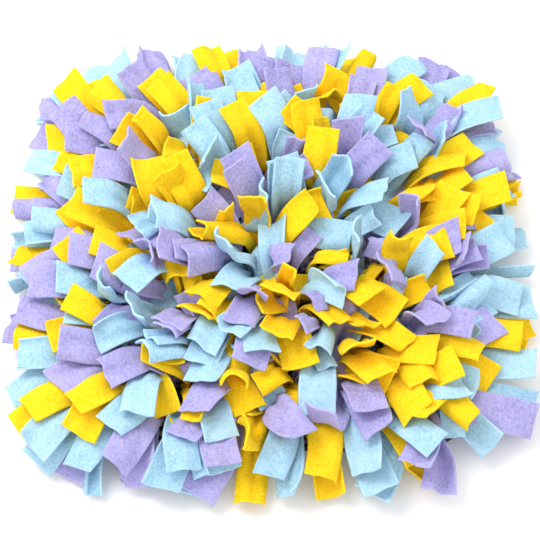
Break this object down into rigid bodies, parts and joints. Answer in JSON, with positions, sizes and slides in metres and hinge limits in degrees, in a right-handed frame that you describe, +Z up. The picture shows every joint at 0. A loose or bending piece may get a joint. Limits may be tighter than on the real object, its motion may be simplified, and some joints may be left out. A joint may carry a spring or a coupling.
{
  "type": "snuffle mat",
  "caption": "Square pet foraging mat: fleece strips knotted round the bars of a flat rubber grid, their flaps fanning outward over one another.",
  "frame": {"origin": "bottom centre of the mat, on the surface it rests on", "axes": "+Z up out of the pile; +Y to the mat's far edge and +X to its right edge as a viewer in front sees it"},
  "size_m": [0.4678, 0.467, 0.0895],
  "materials": {
    "fleece_blue": "matt napped fleece, pale sky blue",
    "fleece_yellow": "matt napped fleece, bright yellow",
    "fleece_lavender": "matt napped fleece, lavender",
    "grid_rubber": "dull black rubber"
  },
  "bodies": {
    "root": {"grid": "grid_rubber", "tuft_1f1": "fleece_yellow", "tuft_1f2": "fleece_blue", "tuft_1f3": "fleece_yellow", "tuft_1f4": "fleece_blue", "tuft_1l1": "fleece_blue", "tuft_1l2": "fleece_blue", "tuft_1l3": "fleece_lavender", "tuft_1l4": "fleece_yellow", "tuft_1n1": "fleece_blue", "tuft_1n2": "fleece_blue", "tuft_1n3": "fleece_blue", "tuft_1n4": "fleece_blue", "tuft_1r1": "fleece_blue", "tuft_1r2": "fleece_blue", "tuft_1r3": "fleece_blue", "tuft_1r4": "fleece_lavender", "tuft_2f1": "fleece_lavender", "tuft_2f2": "fleece_blue", "tuft_2f3": "fleece_lavender", "tuft_2l1": "fleece_yellow", "tuft_2l2": "fleece_lavender", "tuft_2l3": "fleece_lavender", "tuft_2n1": "fleece_yellow", "tuft_2n2": "fleece_lavender", "tuft_2n3": "fleece_yellow", "tuft_2r1": "fleece_yellow", "tuft_2r2": "fleece_blue", "tuft_2r3": "fleece_yellow", "tuft_3f1": "fleece_blue", "tuft_3f2": "fleece_yellow", "tuft_3f3": "fleece_yellow", "tuft_3l1": "fleece_lavender", "tuft_3l2": "fleece_yellow", "tuft_3l3": "fleece_blue", "tuft_3n1": "fleece_lavender", "tuft_3n2": "fleece_blue", "tuft_3n3": "fleece_blue", "tuft_3r1": "fleece_yellow", "tuft_3r2": "fleece_lavender", "tuft_3r3": "fleece_yellow", "tuft_4f1": "fleece_lavender", "tuft_4f2": "fleece_blue", "tuft_4l1": "fleece_blue", "tuft_4l2": "fleece_yellow", "tuft_4n1": "fleece_lavender", "tuft_4n2": "fleece_yellow", "tuft_4r1": "fleece_yellow", "tuft_4r2": "fleece_blue", "tuft_5f1": "fleece_lavender", "tuft_5l1": "fleece_lavender", "tuft_5n1": "fleece_yellow", "tuft_5r1": "fleece_lavender", "tuft_6f1": "fleece_blue", "tuft_6l1": "fleece_yellow", "tuft_6n1": "fleece_blue", "tuft_6r1": "fleece_lavender"}
  },
  "joints": []
}
